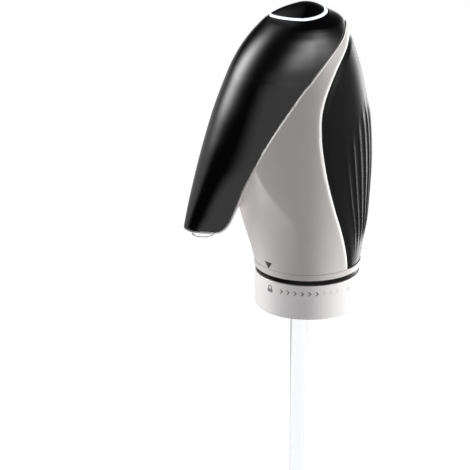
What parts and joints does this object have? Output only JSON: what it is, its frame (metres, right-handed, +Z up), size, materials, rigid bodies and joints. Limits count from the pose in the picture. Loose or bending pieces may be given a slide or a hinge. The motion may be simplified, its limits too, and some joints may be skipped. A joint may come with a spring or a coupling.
{
  "type": "electric wine aerator",
  "caption": "Electric wine aerator and pourer for a bottle neck: black beak-shaped hood, pale casing, twist-lock collar, button in a light ring on top, telescopic dip tube.",
  "frame": {"origin": "middle of the seat that meets the lip of the bottle, on the bottle's axis", "axes": "+Z up along the bottle's axis, -X towards the tip of the beak, the casing is the same on both sides of the plane Y = 0"},
  "size_m": [0.0854, 0.049, 0.4011],
  "materials": {
    "gloss_black_plastic": "high gloss",
    "satin_black_plastic": "satin",
    "pearl_plastic": "warm pearl, semi-gloss",
    "pale_plastic": "semi-gloss",
    "lit_plastic": "translucent light guide",
    "clear_plastic": "clear",
    "dark_rubber": "matt",
    "pale_silicone": "matt silicone",
    "grey_plastic": "moulded",
    "steel": "plated",
    "board_green": "coated board",
    "battery_wrap": "shrink wrap"
  },
  "bodies": {
    "casing": {"beak_cover": "gloss_black_plastic", "rear_panel": "satin_black_plastic", "base_chassis": "satin_black_plastic", "battery_holder": "satin_black_plastic", "main_shell": "pearl_plastic", "beak_underside": "pearl_plastic", "base_ring": "pearl_plastic", "aerator_chamber": "pale_plastic", "motor_end_cap": "pale_plastic", "pump_cover": "pale_plastic", "light_ring": "lit_plastic", "nozzle": "clear_plastic", "dip_tube_outer": "clear_plastic", "wine_hose": "clear_plastic", "seal_band": "dark_rubber", "tube_o_ring": "dark_rubber", "nozzle_seal": "dark_rubber", "pump_diaphragm": "dark_rubber", "neck_seal_sleeve": "pale_silicone", "lip_gasket": "pale_silicone", "tube_guide": "pale_silicone", "air_hose": "pale_silicone", "button_frame": "grey_plastic", "tact_switch": "grey_plastic", "port_block": "grey_plastic", "inner_frame": "grey_plastic", "motor_bracket": "grey_plastic", "pump_body": "grey_plastic", "motor_can": "steel", "battery_contact_low": "steel", "battery_contact_high": "steel", "usb_socket": "steel", "button_board": "board_green", "main_board": "board_green", "charge_board": "board_green", "battery_cell": "battery_wrap", "collar_retainer": "grey_plastic"},
    "collar": {"lock_collar": "pale_plastic"},
    "clamp": {"pressure_ring": "grey_plastic"},
    "button": {"power_button": "gloss_black_plastic", "switch_plunger": "pale_plastic"},
    "rotor": {"pump_rotor": "steel"},
    "tube_end": {"dip_tube_inner": "clear_plastic", "tube_foot": "pale_silicone"}
  },
  "joints": [
    {"name": "collar_turn", "type": "hinge", "parent": "casing", "child": "collar", "pos_m": [0, 0, -0.006], "axis": [0, 0, 1], "range_deg": [-90, 0]},
    {"name": "clamp_slide", "type": "slide", "parent": "casing", "child": "clamp", "axis": [0, 0, 1], "range_m": [-0.0018, 0], "deforming": ["neck_seal_sleeve"]},
    {"name": "button_press", "type": "slide", "parent": "casing", "child": "button", "axis": [0.1374, 0, -0.9905], "range_m": [0, 0.0006], "stiffness_N_per_m": 2500},
    {"name": "rotor_spin", "type": "hinge", "parent": "casing", "child": "rotor", "pos_m": [-0.012, 0, 0.048], "axis": [0, 0, 1], "continuous": true},
    {"name": "tube_slide", "type": "slide", "parent": "casing", "child": "tube_end", "axis": [0, 0, 1], "range_m": [0, 0.115]}
  ],
  "couplings": [
    {"joint": "clamp_slide", "follows": "collar_turn", "m_per_rad": 0.001146}
  ]
}
